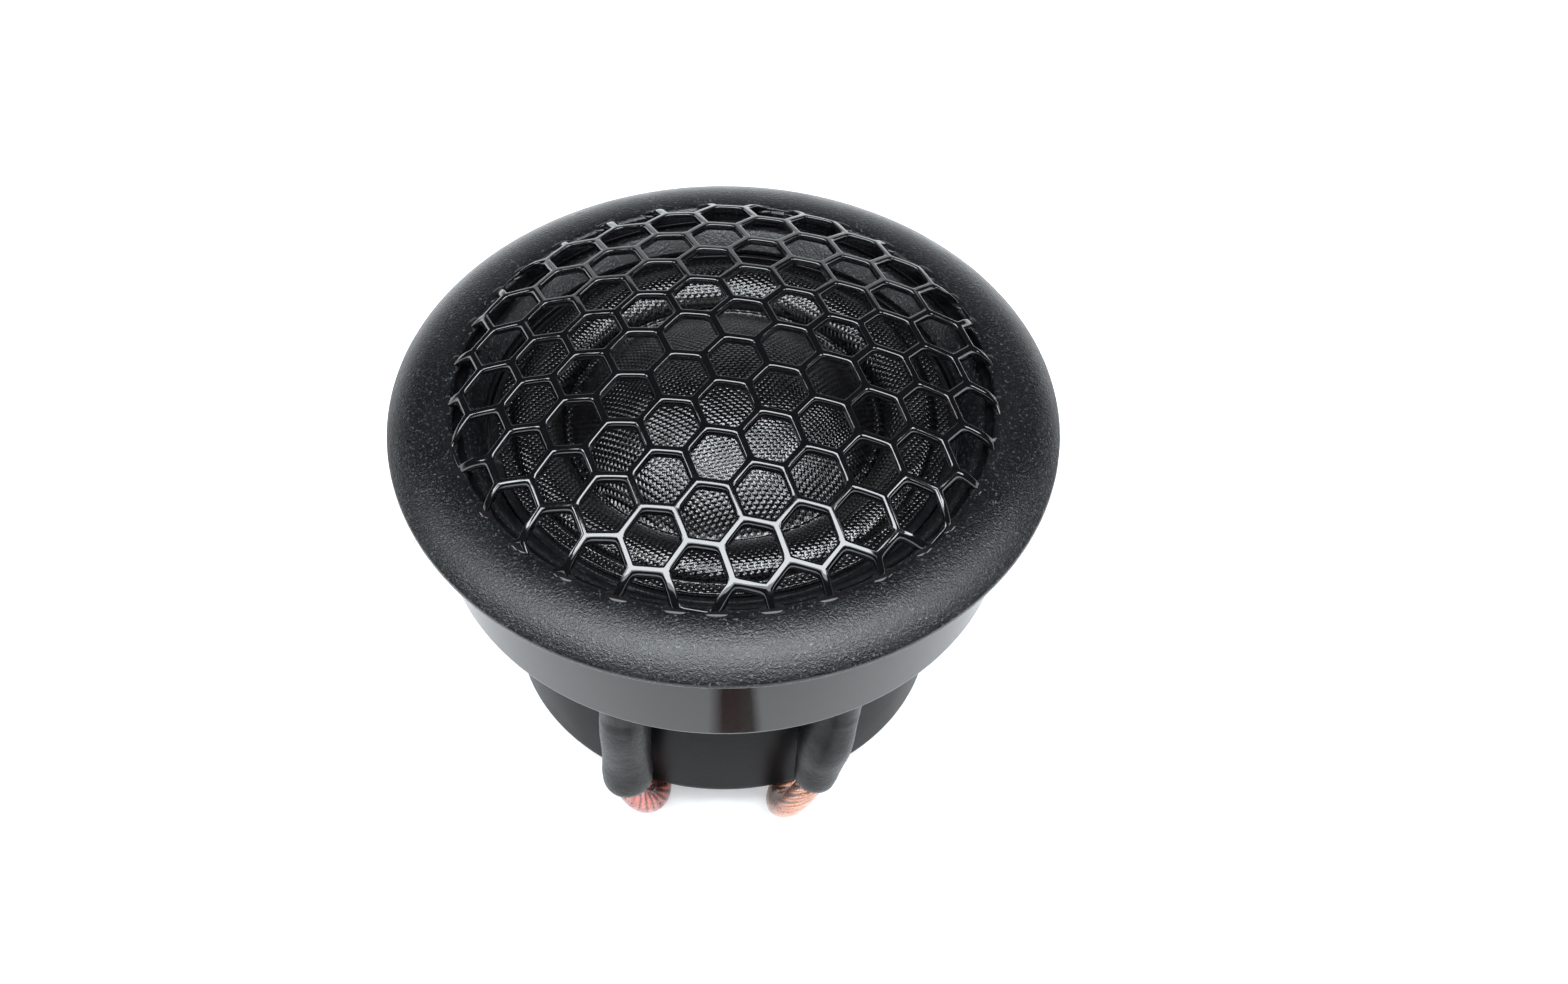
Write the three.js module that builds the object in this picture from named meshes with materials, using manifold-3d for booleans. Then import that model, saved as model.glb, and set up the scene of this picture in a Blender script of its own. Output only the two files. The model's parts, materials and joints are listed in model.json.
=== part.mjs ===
// A 25 mm dome tweeter for cars: a neodymium motor behind a woven dome, in a flanged
// housing that drops into a 48 mm panel hole, with a bezel ring and a honeycomb guard.
// Millimetres, +Z up. The tweeter stands on its rear cap, and its axis is the Z axis.
// Heights in the profiles are measured from the widest plane of the bezel ring.

import * as THREE from 'three';
import { mergeVertices } from 'three/addons/utils/BufferGeometryUtils.js';
import Module from 'manifold-3d';

const wasm = await Module();
wasm.setup();

// ---- driving dimensions ----
const rimHeight = 32.4;        // widest plane of the bezel above the surface it stands on
const fit = 0.3;               // clearance between pieces that meet
const roundSegments = 40;

const bezelRadius = 27.5;
const mouthRadius = 22.3;      // opening that holds the guard
const mouthHeight = 2.3;
const throatRadius = 19.6;     // foot of the slope behind the guard
const ledgeHeight = 0.9;       // step that the guard rests on

const guardRadius = mouthRadius - fit;
const guardRimWidth = 0.7;
const guardCrown = 9.3;        // top of the guard on the axis
const guardFall = 5.36;        // how far it falls to its edge, squared term
const guardFallSteep = 0.69;   // and fourth-power term
const guardThickness = 1.3;
const cellPitch = 4.51;        // across flats, middle of strand to middle of strand
const cellOpening = 3.85;      // across flats
const cellTurn = THREE.MathUtils.degToRad(-8.83);
const guardSegments = 24;

const flangeRadius = 27.1;
const flangeTop = -0.9;
const flangeBottom = -1.7;
const collarRadius = 23.9;
const collarTopRadius = 24.0;
const collarInside = 22.3;
const collarBottom = -11.5;
const floorTop = -10.1;
const seatRadius = 19.4;       // opening in the housing for the diaphragm ring
const seatBottom = -2.4;

const domeRadius = 12.5;
const domeBase = -1.2;
const domeTop = 4.9;
const clothThickness = 0.35;
const rollMiddle = 15.3;
const rollHalfWidth = 2.2;
const rollHeight = 1.7;
const rollOuterFoot = -0.4;
const diaphragmRingRadius = 19.1;

const plateRadius = 22.0;
const plateTop = -2.7;
const plateBottom = -5.2;
const gapOuterRadius = 13.3;
const poleRadius = 11.9;
const ventRadius = 3.0;
const motorRadius = 18.4;
const cupInside = 15.6;
const cupFloorTop = -11.6;
const cupBottom = -14.1;
const canBottom = -27.9;
const canWall = 1.0;
const canHole = 6.3;
const capRadius = 9.8;

const screwCircle = 20.75;
const lugCircle = 21.0;
const lugTop = -7.0;
const lugBend = -12.0;
const lugBottom = -19.0;
const lugWidth = 2.4;
const lugThickness = 0.6;
const sleeveRadius = 2.2;
const sleeveBore = 1.75;

const leadRadius = 1.1;
const leadSides = 8;
const layHeight = 1.15;        // middle of a lead that lies on the surface
const coilCentre = [14.6, 32.0];
const coilStart = 13.1;        // radius where a lead joins its coil
const turnPitch = 2.3;
const coilTurns = 1.5;
const tailTurns = 0.5;
const tailRadius = 5.3;
const coilInner = 8.4;
const coilOuter = 14.4;

// Each side: where its lug stands, how far its sleeve leans towards the middle, its sleeve's
// lower end, and the first stretch of its lead, from the joint in the sleeve to the surface.
const sides = [
  {
    word: 'left', pole: 'positive', mirror: -1, angle: 247.6, lean: 0, sleeveEnd: -24.2,
    drop: [
      [-8.0, -19.4, 13.0], [-8.0, -19.4, 8.2], [-7.8, -19.4, 6.5], [-7.2, -19.1, 4.8],
      [-6.5, -18.4, 3.3], [-5.9, -17.3, 2.2], [-5.6, -15.9, 1.5], [-5.8, -14.4, 1.15],
    ],
  },
  {
    word: 'right', pole: 'negative', mirror: 1, angle: 297.2, lean: 11, sleeveEnd: -23.8,
    drop: [
      [8.3, -19.4, 13.0], [7.6, -19.7, 8.6], [6.8, -19.9, 7.0], [5.9, -19.8, 5.3],
      [5.2, -19.2, 3.8], [4.8, -18.1, 2.5], [4.8, -16.7, 1.6], [5.3, -15.2, 1.15],
    ],
  },
];
// The stretch on the surface round the rear cap, the same on both sides.
const around = [
  [6.4, -13.0], [7.0, -11.1], [8.3, -9.3], [10.0, -7.3], [11.5, -4.9], [12.5, -2.2],
  [12.9, 0.8], [12.9, 3.9], [12.4, 7.4], [11.3, 10.7], [9.5, 13.9], [7.2, 17.0],
  [5.2, 20.1], [3.4, 23.3], [2.1, 26.6], [1.6, 29.5],
];

// ---- geometry helpers ----

// One closed surface: position only, shared vertices merged, faces pointing out.
function closed(source) {
  const bare = source.clone();
  bare.deleteAttribute('normal');
  bare.deleteAttribute('uv');
  const merged = mergeVertices(bare, 1e-4);
  const at = merged.getAttribute('position');
  const corners = merged.getIndex().array;
  const a = new THREE.Vector3();
  const b = new THREE.Vector3();
  const c = new THREE.Vector3();
  const kept = [];
  let volume = 0;
  for (let i = 0; i < corners.length; i += 3) {
    const [p, q, r] = [corners[i], corners[i + 1], corners[i + 2]];
    if (p === q || q === r || r === p) continue;
    kept.push(p, q, r);
    a.fromBufferAttribute(at, p);
    b.fromBufferAttribute(at, q);
    c.fromBufferAttribute(at, r);
    volume += a.dot(b.cross(c));
  }
  if (volume < 0) kept.reverse();
  merged.setIndex(kept);
  return merged;
}

function toManifold(geometry) {
  return new wasm.Manifold(new wasm.Mesh({
    numProp: 3,
    vertProperties: new Float32Array(geometry.getAttribute('position').array),
    triVerts: new Uint32Array(geometry.getIndex().array),
  }));
}

function fromManifold(body) {
  const mesh = body.getMesh();
  const geometry = new THREE.BufferGeometry();
  geometry.setAttribute('position', new THREE.BufferAttribute(mesh.vertProperties, 3));
  geometry.setIndex(new THREE.BufferAttribute(mesh.triVerts, 1));
  return geometry;
}

function cut(geometry, cutters) {
  let body = toManifold(geometry);
  for (const cutter of cutters) body = body.subtract(toManifold(cutter));
  return fromManifold(body);
}

function common(geometry, other) {
  return fromManifold(toManifold(geometry).intersect(toManifold(other)));
}

// A solid turned about Z from [radius, height] points that close on themselves.
function turned(points, segments = roundSegments) {
  const loop = [...points, points[0]].map(([r, z]) => new THREE.Vector2(r, z));
  return closed(new THREE.LatheGeometry(loop, segments).rotateX(Math.PI / 2));
}

function band(inner, outer, bottom, top, segments = roundSegments) {
  return turned([[inner, bottom], [outer, bottom], [outer, top], [inner, top]], segments);
}

function post(radius, bottom, top, x = 0, y = 0, segments = 16) {
  const shape = new THREE.CylinderGeometry(radius, radius, top - bottom, segments);
  return closed(shape.rotateX(Math.PI / 2).translate(x, y, (bottom + top) / 2));
}

// A block whose middle stands at a radius and an angle about the axis.
function block(radial, across, bottom, top, radius, angle) {
  const shape = new THREE.BoxGeometry(radial, across, top - bottom);
  return closed(shape.translate(radius, 0, (bottom + top) / 2).rotateZ(angle));
}

function tube(points, radius, sectionSides, steps) {
  const section = new THREE.Shape();
  section.absarc(0, 0, radius, 0, 2 * Math.PI, false);
  const curve = new THREE.CatmullRomCurve3(points.map((p) => new THREE.Vector3(...p)));
  return closed(new THREE.ExtrudeGeometry(section, {
    steps, curveSegments: sectionSides / 2, extrudePath: curve,
  }));
}

const radians = THREE.MathUtils.degToRad;
const group = new THREE.Group();

function add(name, geometry, finish, height = rimHeight) {
  const mesh = new THREE.Mesh(geometry, new THREE.MeshStandardMaterial(finish));
  mesh.name = name;
  mesh.position.z = height;
  group.add(mesh);
  return mesh;
}

// ---- finishes ----
const satinBlack = { color: 0x24272b, roughness: 0.55, metalness: 0.0 };
const glossBlack = { color: 0x0c0d0f, roughness: 0.12, metalness: 0.0 };
const paintedBlack = { color: 0x1b1d21, roughness: 0.4, metalness: 0.2 };
const wovenBlack = { color: 0x26282d, roughness: 0.8, metalness: 0.0 };
const steel = { color: 0x9a9ca0, roughness: 0.35, metalness: 1.0 };
const nickel = { color: 0xb9bbbd, roughness: 0.2, metalness: 1.0 };
const brass = { color: 0xc2a14e, roughness: 0.3, metalness: 1.0 };
const copper = { color: 0xb5683c, roughness: 0.3, metalness: 1.0 };
const tin = { color: 0xc8c9c8, roughness: 0.3, metalness: 1.0 };
const aluminium = { color: 0xc4c6c8, roughness: 0.35, metalness: 1.0 };
const shrinkBlack = { color: 0x17181b, roughness: 0.45, metalness: 0.0 };
const felt = { color: 0x30302e, roughness: 1.0, metalness: 0.0 };
const foam = { color: 0x2c2d2f, roughness: 1.0, metalness: 0.0 };
const clearOverCopper = { color: 0x8a5a45, roughness: 0.2, metalness: 0.0 };
const clearOverCopperRed = { color: 0x8c3a34, roughness: 0.2, metalness: 0.0 };

// ---- front ring ----
function bezelRing() {
  const width = bezelRadius - mouthRadius;
  const crownRadius = (width ** 2 + mouthHeight ** 2) / (2 * mouthHeight);
  const sweep = Math.asin(width / crownRadius);
  const crownSteps = 5;
  const outline = [];
  for (let i = 0; i <= crownSteps; i++) {
    const turn = (sweep * i) / crownSteps;
    const r = mouthRadius + crownRadius * Math.sin(turn);
    outline.push([r, mouthHeight - crownRadius * (1 - Math.cos(turn))]);
  }
  outline.push([bezelRadius, -0.35], [flangeRadius, flangeTop + fit]);
  outline.push([throatRadius, flangeTop + fit], [throatRadius, -0.3]);
  outline.push([throatRadius + 1.2, ledgeHeight], [mouthRadius, ledgeHeight]);
  return turned(outline);
}
add('bezel_ring', bezelRing(), satinBlack);

// ---- honeycomb guard ----
function guardHeight(r) {
  const share = (r / guardRadius) ** 2;
  return guardCrown - guardFall * share - guardFallSteep * share ** 2;
}

function honeycombGrille() {
  const openRadius = guardRadius - guardRimWidth;
  const steps = [0, 8, 14, 18.5, guardRadius];
  const outline = steps.map((r) => [r, guardHeight(r)]);
  outline.push([guardRadius, ledgeHeight + fit], [openRadius, ledgeHeight + fit]);
  const inner = [openRadius, ...steps.slice(0, -1).reverse()];
  for (const r of inner) outline.push([r, guardHeight(r) - guardThickness]);
  let body = toManifold(turned(outline, guardSegments));

  // A junction of strands stands on the axis, so the nearest cell is one side to the left.
  const side = cellPitch / Math.sqrt(3);
  const reach = 8;
  const opening = toManifold(post(openRadius, -5, 20, 0, 0, guardSegments));
  for (let i = -reach; i <= reach; i++) {
    for (let j = -2 * reach; j <= 2 * reach; j++) {
      const x = -side + 1.5 * side * i;
      const y = -cellPitch * (j + i / 2);
      if (Math.hypot(x, y) > openRadius + 0.35 * cellPitch) continue;
      const hexagon = new THREE.CylinderGeometry(cellOpening / Math.sqrt(3),
        cellOpening / Math.sqrt(3), 24, 6);
      hexagon.rotateX(Math.PI / 2).rotateZ(Math.PI / 2).translate(x, y, 5).rotateZ(cellTurn);
      body = body.subtract(toManifold(closed(hexagon)).intersect(opening));
    }
  }
  return fromManifold(body);
}
add('honeycomb_grille', honeycombGrille(), glossBlack);

// ---- moving dome and coil ----
function fabricDome() {
  const rise = domeTop - domeBase;
  const ball = (domeRadius ** 2 + rise ** 2) / (2 * rise);
  const sweep = Math.asin(domeRadius / ball);
  const domeSteps = 5;
  const outer = [];
  const inner = [];
  for (let i = 0; i <= domeSteps; i++) {
    const turn = (sweep * i) / domeSteps;
    const centre = domeTop - ball;
    outer.push([ball * Math.sin(turn), centre + ball * Math.cos(turn)]);
    const under = ball - clothThickness;
    inner.push([under * Math.sin(turn), centre + under * Math.cos(turn)]);
  }
  const edge = domeRadius + fit;
  const foot = domeBase - clothThickness;
  return turned([...outer, [edge, domeBase], [edge, foot], [inner[domeSteps][0], foot],
    ...inner.reverse()], 36);
}
add('fabric_dome', fabricDome(), wovenBlack);
add('voice_coil_former', band(12.3, 12.5, -6.4, -1.85), aluminium);
add('voice_coil_winding', band(12.6, 12.95, -5.0, -2.9), copper);

// ---- surround and its ring ----
function surround() {
  const rollSteps = 6;
  const over = [];
  const under = [];
  for (let i = 0; i <= rollSteps; i++) {
    const turn = (Math.PI * i) / rollSteps;
    const foot = domeBase + ((rollOuterFoot - domeBase) * i) / rollSteps;
    const thin = clothThickness * Math.sin(turn);
    over.push([rollMiddle - rollHalfWidth * Math.cos(turn), foot + rollHeight * Math.sin(turn)]);
    const half = rollHalfWidth - clothThickness;
    under.push([rollMiddle - half * Math.cos(turn), foot + rollHeight * Math.sin(turn) - thin]);
  }
  const lip = 18.5;
  return turned([...over, [lip, rollOuterFoot], [lip, rollOuterFoot - clothThickness],
    [under[rollSteps][0], rollOuterFoot - clothThickness], ...under.reverse().slice(1)], 36);
}
add('surround', surround(), wovenBlack);
const ringTop = rollOuterFoot - clothThickness - fit;
add('diaphragm_ring', band(16.9, diaphragmRingRadius, seatBottom, ringTop), glossBlack);

// ---- housing ----
const screwAngles = [90, 210, 330].map(radians);
const screwSpots = screwAngles.map((angle) => [
  screwCircle * Math.cos(angle), screwCircle * Math.sin(angle),
]);
const screwHoleRadius = 1.0;

function housing() {
  const body = turned([
    [seatRadius, flangeTop], [flangeRadius, flangeTop], [flangeRadius, flangeBottom],
    [collarTopRadius, flangeBottom], [collarRadius, collarBottom],
    [motorRadius + fit, collarBottom], [motorRadius + fit, floorTop],
    [collarInside, floorTop], [collarInside, seatBottom], [seatRadius, seatBottom],
  ]);
  const cutters = screwSpots.map(([x, y]) => post(screwHoleRadius, -4, -1.3, x, y));
  for (const side of sides) {
    cutters.push(block(lugThickness + 2 * fit, lugWidth + 2 * fit, -13, -8,
      lugCircle, radians(side.angle)));
  }
  return cut(body, cutters);
}
add('housing', housing(), glossBlack);

// ---- motor ----
function topPlate() {
  const cutters = screwSpots.map(([x, y]) => post(screwHoleRadius, -6, -2, x, y));
  for (const side of sides) {
    const angle = radians(side.angle);
    cutters.push(block(8.4, 1.4, -3.9, -2, 18.8, angle));
    cutters.push(block(2.4, 1.4, -6, -2, 21.4, angle));
  }
  return cut(band(gapOuterRadius, plateRadius, plateBottom, plateTop), cutters);
}
add('top_plate', topPlate(), steel);
add('pole_plate', band(ventRadius, poleRadius, -6.0, -2.8), steel);
add('magnet', band(ventRadius, 11.0, -11.3, -6.3), nickel);
add('pole_felt', band(ventRadius, 9.0, -2.5, -1.5, 32), felt);
add('yoke_cup', turned([
  [cupInside, plateBottom - fit], [motorRadius, plateBottom - fit], [motorRadius, cupBottom],
  [ventRadius, cupBottom], [ventRadius, cupFloorTop], [cupInside, cupFloorTop],
]), paintedBlack);

screwSpots.forEach(([x, y], i) => {
  const head = plateBottom - fit;
  const screw = turned([
    [0, head - 1.1], [1.25, head - 1.1], [1.25, head], [0.7, head], [0.7, -1.6], [0, -1.6],
  ], 16);
  add(`motor_screw_${i + 1}`, screw.translate(x, y, 0), steel);
});

// ---- rear chamber ----
const canInside = motorRadius - canWall;
add('rear_can', turned([
  [canInside, cupBottom - fit], [motorRadius, cupBottom - fit], [motorRadius, canBottom + 0.4],
  [motorRadius - 0.4, canBottom], [canHole, canBottom], [canHole, canBottom + 1.2],
  [canInside, canBottom + 1.2],
]), paintedBlack);
add('rear_foam', post(16.9, -24.0, cupBottom - 0.8, 0, 0, roundSegments), foam);
const capTop = canBottom - fit;
add('rear_cap', turned([
  [0, -25.5], [canHole - fit, -25.5], [canHole - fit, capTop], [capRadius, capTop],
  [capRadius, 0.4 - rimHeight], [capRadius - 0.4, -rimHeight], [0, -rimHeight],
]), satinBlack);

// ---- terminals, sleeves and leads ----
function lug(side) {
  const half = lugWidth / 2;
  const shift = -Math.tan(radians(side.lean)) * (lugBend - lugBottom);
  const outline = new THREE.Shape([
    [-half, lugTop], [half, lugTop], [half, lugBend], [half + shift, lugBottom],
    [-half + shift, lugBottom], [-half, lugBend],
  ].map(([x, z]) => new THREE.Vector2(x, z)));
  const strip = new THREE.ExtrudeGeometry(outline, { depth: lugThickness, bevelEnabled: false });
  strip.translate(0, 0, -lugThickness / 2).rotateX(Math.PI / 2).rotateZ(Math.PI / 2);
  return closed(strip.translate(lugCircle, 0, 0).rotateZ(radians(side.angle)));
}

function bush(side) {
  const angle = radians(side.angle);
  const body = block(2.2, 4.4, floorTop + fit, floorTop + 1.5, lugCircle - 0.1, angle);
  const slot = block(lugThickness + 2 * fit, lugWidth + 2 * fit, -12, -7, lugCircle, angle);
  return cut(body, [slot]);
}

// The sleeve swells over the solder joint and grips the lead at its lower end.
function sleeve(side) {
  const length = (lugBend - side.sleeveEnd) / Math.cos(radians(side.lean));
  const outline = [
    [sleeveBore, 0], [sleeveRadius - 0.1, 0], [sleeveRadius, -0.3 * length],
    [sleeveRadius, -0.7 * length], [sleeveRadius - 0.2, -length], [leadRadius + fit, -length],
    [leadRadius + fit, -0.85 * length], [sleeveBore, -0.75 * length],
  ];
  const shape = turned(outline, 16).rotateX(radians(-side.lean));
  return shape.translate(lugCircle, 0, lugBend).rotateZ(radians(side.angle));
}

function coilLead(side) {
  const angle = radians(side.angle);
  const route = [
    [13.35, -2.2], [14.4, -2.1], [15.6, -2.55], [16.7, -3.25], [18.6, -3.4], [20.2, -3.45],
    [20.9, -4.1], [21.0, -5.3], [21.0, lugTop + fit],
  ];
  return tube(route.map(([r, z]) => [r * Math.cos(angle), r * Math.sin(angle), z]), 0.25, 6, 20);
}

// The coil: a flat spiral from the outside in, whose last half turn closes faster.
function coilPoints(side) {
  const pointsPerTurn = 16;
  const count = Math.round(pointsPerTurn * (coilTurns + tailTurns));
  const tailDrop = coilStart - turnPitch * (coilTurns + tailTurns) - tailRadius;
  const points = [];
  for (let i = 0; i <= count; i++) {
    const turns = i / pointsPerTurn;
    const closing = Math.max(0, (turns - coilTurns) / tailTurns);
    const r = coilStart - turnPitch * turns - tailDrop * closing ** 2;
    const angle = 2 * Math.PI * turns;
    points.push([side.mirror * (coilCentre[0] - r * Math.cos(angle)),
      coilCentre[1] + r * Math.sin(angle), layHeight]);
  }
  return points;
}

function addLead(side) {
  const finish = side.pole === 'positive' ? clearOverCopperRed : clearOverCopper;
  const [x, y] = [side.mirror * coilCentre[0], coilCentre[1]];
  const name = `lead_${side.pole}`;
  const run = around.map(([px, py]) => [side.mirror * px, py, layHeight]);
  const coil = coilPoints(side);
  const clear = post(coilOuter + fit, -5, 10, x, y, roundSegments);
  const stretch = tube([...side.drop, ...run, ...coil.slice(0, 2)], leadRadius, leadSides, 34);
  add(name, cut(stretch, [clear]), finish, 0);
  add(`${name}_coil`, band(coilInner, coilOuter, 0, 2.3, 36).translate(x, y, 0), finish, 0);
  const middle = post(coilInner - fit, -5, 10, x, y, 36);
  const tail = tube(coil.slice(-9), leadRadius, leadSides, 10);
  add(`${name}_tail`, common(tail, middle), finish, 0);
  const tip = coil.at(-1);
  const wire = new THREE.CylinderGeometry(0.65, 0.65, 4.2, 10);
  add(`tinned_end_${side.pole}`, closed(wire.translate(tip[0], tip[1] + 2.4, layHeight)), tin, 0);
}

for (const side of sides) {
  add(`terminal_lug_${side.word}`, lug(side), brass);
  add(`terminal_bush_${side.word}`, bush(side), satinBlack);
  add(`heat_shrink_${side.word}`, sleeve(side), shrinkBlack);
  add(`coil_lead_${side.word}`, coilLead(side), copper);
  addLead(side);
}

export default group;
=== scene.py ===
# The looks of a 25 mm dome tweeter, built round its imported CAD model. Profiles are in
# millimetres, with heights measured from the bezel's widest plane. Blender's own units are metres.
import json
import math

import bmesh
import bpy
import numpy as np
from mathutils import Matrix, Vector


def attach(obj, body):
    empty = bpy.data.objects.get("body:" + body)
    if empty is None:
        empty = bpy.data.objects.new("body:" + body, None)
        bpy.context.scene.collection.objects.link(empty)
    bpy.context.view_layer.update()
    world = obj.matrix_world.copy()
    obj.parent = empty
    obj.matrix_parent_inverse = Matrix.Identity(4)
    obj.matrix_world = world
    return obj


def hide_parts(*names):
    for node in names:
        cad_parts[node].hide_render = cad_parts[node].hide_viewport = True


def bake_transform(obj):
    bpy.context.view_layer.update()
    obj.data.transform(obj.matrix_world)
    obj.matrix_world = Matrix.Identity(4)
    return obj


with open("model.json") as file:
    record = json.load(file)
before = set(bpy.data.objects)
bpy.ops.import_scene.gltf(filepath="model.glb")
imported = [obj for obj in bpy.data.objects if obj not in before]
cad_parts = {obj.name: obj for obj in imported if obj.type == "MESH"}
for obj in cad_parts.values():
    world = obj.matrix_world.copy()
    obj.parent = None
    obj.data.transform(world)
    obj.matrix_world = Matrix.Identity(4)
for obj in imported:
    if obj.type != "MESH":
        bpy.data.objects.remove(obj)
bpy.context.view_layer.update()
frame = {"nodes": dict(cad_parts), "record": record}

MM = 0.001
RIM = 32.4          # the bezel's widest plane above the floor
BODY = "tweeter_body"
COIL = "moving_coil"
rng = np.random.default_rng(7)


# ---- camera ----
def add_camera():
    elevation = math.radians(47.63)
    distance = 0.2
    focal_length, film_width = 56.04, 36.0
    aim = Vector((0, 0, RIM * MM))
    data = bpy.data.cameras.new("camera")
    data.sensor_width = film_width
    data.lens = focal_length
    data.clip_start, data.clip_end = 0.005, 20
    data.shift_x, data.shift_y = 0.0387, -0.0504
    camera = bpy.data.objects.new("camera", data)
    back = Vector((0, -math.cos(elevation), math.sin(elevation)))
    camera.location = aim + distance * back
    camera.rotation_euler = back.to_track_quat("Z", "Y").to_euler()
    bpy.context.scene.collection.objects.link(camera)
    bpy.context.scene.camera = camera


add_camera()


# ---- node helpers ----
class Nodes:
    """A short way to write a material's node tree."""

    def __init__(self, name):
        self.material = bpy.data.materials.new(name)
        self.material.use_nodes = True
        self.tree = self.material.node_tree
        self.tree.nodes.clear()
        self.out = self.add("ShaderNodeOutputMaterial")

    def add(self, kind, **values):
        node = self.tree.nodes.new(kind)
        for key, value in values.items():
            if hasattr(node, key) and key not in node.inputs:
                setattr(node, key, value)
            else:
                self.put(node.inputs[key], value)
        return node

    def put(self, socket, value):
        if isinstance(value, bpy.types.NodeSocket):
            self.tree.links.new(value, socket)
        else:
            socket.default_value = value

    def math(self, operation, a, b=0.0, c=0.0):
        node = self.add("ShaderNodeMath", operation=operation)
        for socket, value in zip(node.inputs, (a, b, c)):
            self.put(socket, value)
        return node.outputs[0]

    def place(self):
        """Object coordinates, in metres from the model's origin."""
        return self.add("ShaderNodeTexCoord").outputs["Object"]

    def split(self, vector):
        node = self.add("ShaderNodeSeparateXYZ", Vector=vector)
        return node.outputs[0], node.outputs[1], node.outputs[2]

    def noise(self, per_mm, detail=2.0, rough=0.5, vector=None):
        node = self.add("ShaderNodeTexNoise", Scale=per_mm / MM, Detail=detail, Roughness=rough)
        self.put(node.inputs["Vector"], vector or self.place())
        return node.outputs["Fac"]

    def ramp(self, value, low, high, a=0.0, b=1.0):
        node = self.add("ShaderNodeMapRange")
        for socket, part in zip(node.inputs[:5], (value, low, high, a, b)):
            self.put(socket, part)
        return node.outputs[0]

    def mix(self, share, a, b):
        node = self.add("ShaderNodeMix", data_type="RGBA")
        self.put(node.inputs[0], share)
        self.put(node.inputs[6], (*a, 1) if isinstance(a, tuple) else a)
        self.put(node.inputs[7], (*b, 1) if isinstance(b, tuple) else b)
        return node.outputs[2]

    def bump(self, height, depth_mm, strength=1.0, normal=None):
        node = self.add("ShaderNodeBump", Strength=strength, Distance=depth_mm * MM, Height=height)
        if normal is not None:
            self.put(node.inputs["Normal"], normal)
        return node.outputs[0]

    def shader(self, **values):
        node = self.add("ShaderNodeBsdfPrincipled")
        for key, value in values.items():
            socket = node.inputs[key.replace("_", " ")]
            self.put(socket, (*value, 1) if isinstance(value, tuple) and len(value) == 3 else value)
        self.tree.links.new(node.outputs[0], self.out.inputs[0])
        return self.material


def satin_plastic():
    """Fine-grained satin black: spark-eroded grain, with painted glints (a lighter base colour) on
    its crests.
    """
    n = Nodes("satin_bezel")
    grain = n.noise(4.8, 2.0, 0.6)
    fine = n.noise(12.0, 1.0, 0.5)
    cloud = n.noise(0.25, 2.0)
    # painted glints: the grain's crests get a lighter base colour that stands in for sparkle
    # highlights
    painted_glint = n.ramp(grain, 0.6, 0.7)
    tone = n.mix(painted_glint, (0.0012, 0.0014, 0.0018), (0.06, 0.067, 0.078))
    tone = n.mix(n.ramp(cloud, 0.35, 0.7, 0.0, 0.35), tone, (0.003, 0.0034, 0.004))
    height = n.math("ADD", grain, n.math("MULTIPLY", fine, 0.45))
    rough = n.ramp(cloud, 0.3, 0.7, 0.27, 0.33)
    return n.shader(Base_Color=tone, Roughness=rough, Normal=n.bump(height, 0.05),
                    Specular_IOR_Level=0.4)


def gloss_plastic(name, tone=(0.006, 0.0062, 0.007), rough=0.09, orange_peel=0.012, level=0.6):
    """Polished moulded black with a faint orange peel and a few wiping marks."""
    n = Nodes(name)
    wave = n.noise(0.55, 2.0)
    marks = n.noise(2.4, 4.0, 0.7)
    lighter = tuple(c * 1.7 for c in tone)
    colour = n.mix(n.ramp(marks, 0.45, 0.8), tone, lighter)
    roughness = n.ramp(marks, 0.35, 0.8, rough * 0.8, rough * 1.7)
    return n.shader(Base_Color=colour, Roughness=roughness, Normal=n.bump(wave, orange_peel),
                    Specular_IOR_Level=level)


def woven_cloth():
    """Coated plain weave, one flat sheet formed over dome and roll: warp and weft threads."""
    n = Nodes("woven_cloth")
    x, y, _ = n.split(n.place())
    # the weave lies about eight degrees off the tweeter's own axes, and wanders a little
    warpx = n.math("ADD", n.math("MULTIPLY", x, 0.99), n.math("MULTIPLY", y, 0.14))
    warpy = n.math("SUBTRACT", n.math("MULTIPLY", y, 0.99), n.math("MULTIPLY", x, 0.14))
    drift = n.math("MULTIPLY", n.noise(0.2, 1.0), 0.5 * MM)
    pitch = 0.285 * MM
    u = n.math("DIVIDE", n.math("ADD", warpx, drift), pitch)
    v = n.math("DIVIDE", n.math("SUBTRACT", warpy, drift), pitch)

    def thread(across, along):
        """Round threads that rise and sink once in two crossings, each against its neighbour."""
        body = n.math("ABSOLUTE", n.math("SINE", n.math("MULTIPLY", across, math.pi)))
        body = n.math("POWER", body, 0.9)
        row = n.math("FLOOR", across)
        phase = n.math("ADD", n.math("MULTIPLY", along, math.pi), n.math("MULTIPLY", row, math.pi))
        over = n.math("ADD", n.math("MULTIPLY", n.math("SINE", phase), 0.5), 0.5)
        return n.math("MULTIPLY", body, over)

    weave = n.math("MAXIMUM", thread(u, v), thread(v, n.math("ADD", u, 0.5)))
    fibre = n.noise(16.0, 2.0)
    coat = n.noise(1.1, 3.0, 0.6)
    height = n.math("ADD", weave, n.math("MULTIPLY", fibre, 0.12))
    tone = n.mix(n.ramp(weave, 0.25, 0.95), (0.0004, 0.0004, 0.0005), (0.003, 0.003, 0.0036))
    rough = n.ramp(coat, 0.35, 0.7, 0.1, 0.18)
    return n.shader(Base_Color=tone, Roughness=rough, Normal=n.bump(height, 0.046),
                    Specular_IOR_Level=0.85)


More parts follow.
